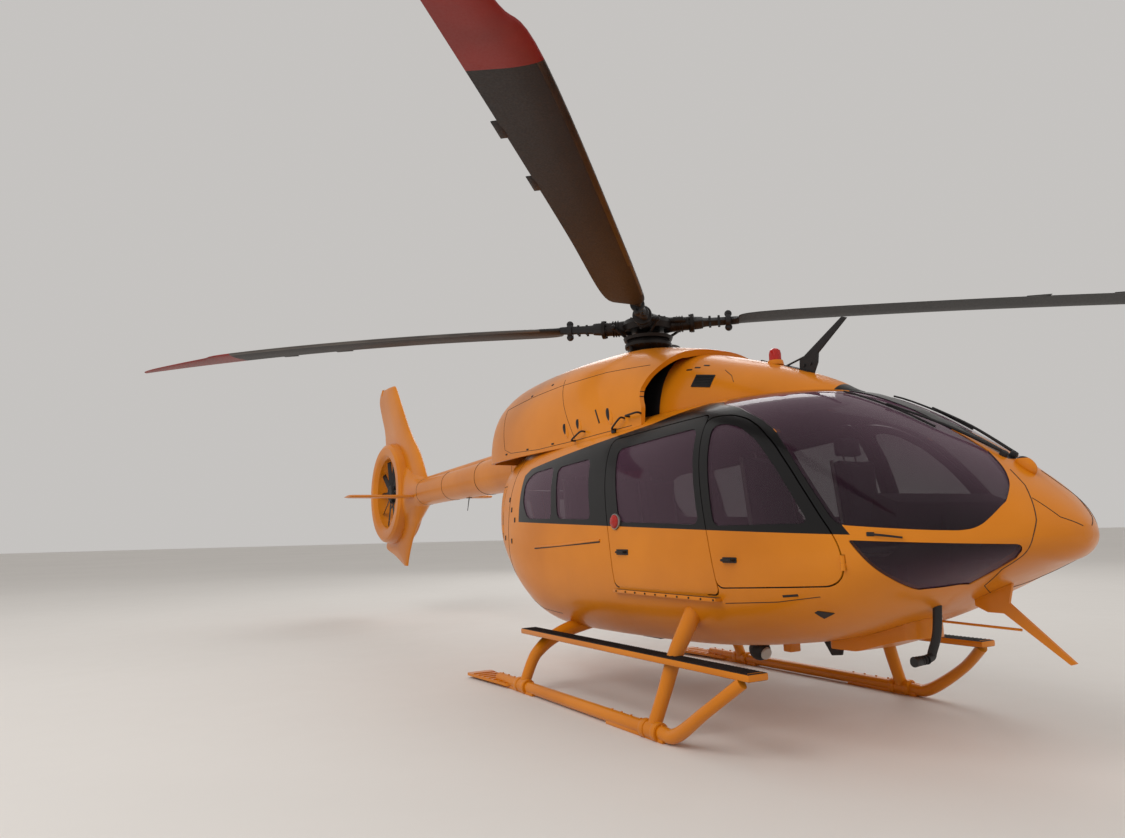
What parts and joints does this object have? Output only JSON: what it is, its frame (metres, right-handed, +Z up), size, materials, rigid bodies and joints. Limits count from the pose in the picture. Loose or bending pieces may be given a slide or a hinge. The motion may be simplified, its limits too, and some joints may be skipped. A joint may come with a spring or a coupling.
{
  "type": "light twin-engine helicopter",
  "caption": "Rescue helicopter with hingeless rotor, shrouded tail fan in the fin, glazed cabin pod with hinged and sliding doors, and skids with long boarding steps.",
  "frame": {"origin": "middle of the object's box in plan, on the ground under the skids", "axes": "+X towards the nose, +Y towards the port side, +Z up"},
  "size_m": [12.1314, 7.8828, 3.905],
  "materials": {
    "body_paint": "gloss",
    "tail_paint": "gloss",
    "window_glass": "gloss",
    "gear_paint": "gloss",
    "step_black": "matte",
    "blade_black": "satin",
    "rotor_metal": "satin",
    "engine_metal": "satin",
    "gearbox_metal": "satin",
    "exhaust_metal": "satin",
    "floor_metal": "matte",
    "console_plastic": "matte",
    "seat_fabric": "matte",
    "lamp_black": "satin",
    "hook_steel": "matte"
  },
  "bodies": {
    "airframe": {"belly_fairing": "body_paint", "belly_light": "lamp_black", "cabin_floor": "floor_metal", "cabin_seat_row": "seat_fabric", "chin_window_left": "window_glass", "chin_window_right": "window_glass", "engine_cowling": "body_paint", "engine_left": "engine_metal", "engine_right": "engine_metal", "exhaust_left": "exhaust_metal", "exhaust_right": "exhaust_metal", "fan_gearbox": "gearbox_metal", "fuselage": "body_paint", "hook_pad": "hook_steel", "instrument_console": "console_plastic", "leg_front_left": "gear_paint", "leg_front_right": "gear_paint", "leg_rear_left": "gear_paint", "leg_rear_right": "gear_paint", "lower_cable_cutter": "body_paint", "main_gearbox": "gearbox_metal", "nose_step": "lamp_black", "pilot_seat_left": "seat_fabric", "pilot_seat_right": "seat_fabric", "quarter_window_left": "window_glass", "quarter_window_right": "window_glass", "side_window_left": "window_glass", "side_window_right": "window_glass", "skid_left": "gear_paint", "skid_right": "gear_paint", "sliding_door_glass_left": "window_glass", "sliding_door_glass_right": "window_glass", "sliding_door_left": "body_paint", "sliding_door_right": "body_paint", "step_left": "step_black", "step_right": "step_black", "tail_boom": "tail_paint", "tail_fin": "tail_paint", "tailplane_left": "tail_paint", "tailplane_right": "tail_paint", "upper_cable_cutter": "lamp_black", "windscreen_left": "window_glass", "windscreen_right": "window_glass"},
    "main_rotor": {"rotor_blade_1": "blade_black", "rotor_blade_2": "blade_black", "rotor_blade_3": "blade_black", "rotor_blade_4": "blade_black", "rotor_head": "rotor_metal"},
    "tail_fan": {"fan_rotor": "blade_black"},
    "front_door_right": {"front_door_right": "body_paint", "front_door_glass_right": "window_glass"},
    "rear_door_right": {"rear_door_right": "body_paint", "rear_door_glass_right": "window_glass"},
    "front_door_left": {"front_door_left": "body_paint", "front_door_glass_left": "window_glass"},
    "rear_door_left": {"rear_door_left": "body_paint", "rear_door_glass_left": "window_glass"}
  },
  "joints": [
    {"name": "main_rotor_turn", "type": "hinge", "parent": "airframe", "child": "main_rotor", "pos_m": [2.1243, 0, 3.124], "axis": [0, 0, 1], "continuous": true},
    {"name": "tail_fan_turn", "type": "hinge", "parent": "airframe", "child": "tail_fan", "pos_m": [-5.2057, -0.086, 2], "axis": [0, 1, 0], "continuous": true},
    {"name": "front_door_right_hinge", "type": "hinge", "parent": "airframe", "child": "front_door_right", "pos_m": [4.8733, -0.797, 1.088], "axis": [0, 0, 1], "range_deg": [0, 75]},
    {"name": "rear_door_right_hinge", "type": "hinge", "parent": "airframe", "child": "rear_door_right", "pos_m": [0.6483, -0.774, 1.33], "axis": [0, 0, 1], "range_deg": [0, 100]},
    {"name": "front_door_left_hinge", "type": "hinge", "parent": "airframe", "child": "front_door_left", "pos_m": [4.8733, 0.797, 1.088], "axis": [0, 0, -1], "range_deg": [0, 75]},
    {"name": "rear_door_left_hinge", "type": "hinge", "parent": "airframe", "child": "rear_door_left", "pos_m": [0.6483, 0.774, 1.33], "axis": [0, 0, -1], "range_deg": [0, 100]}
  ]
}
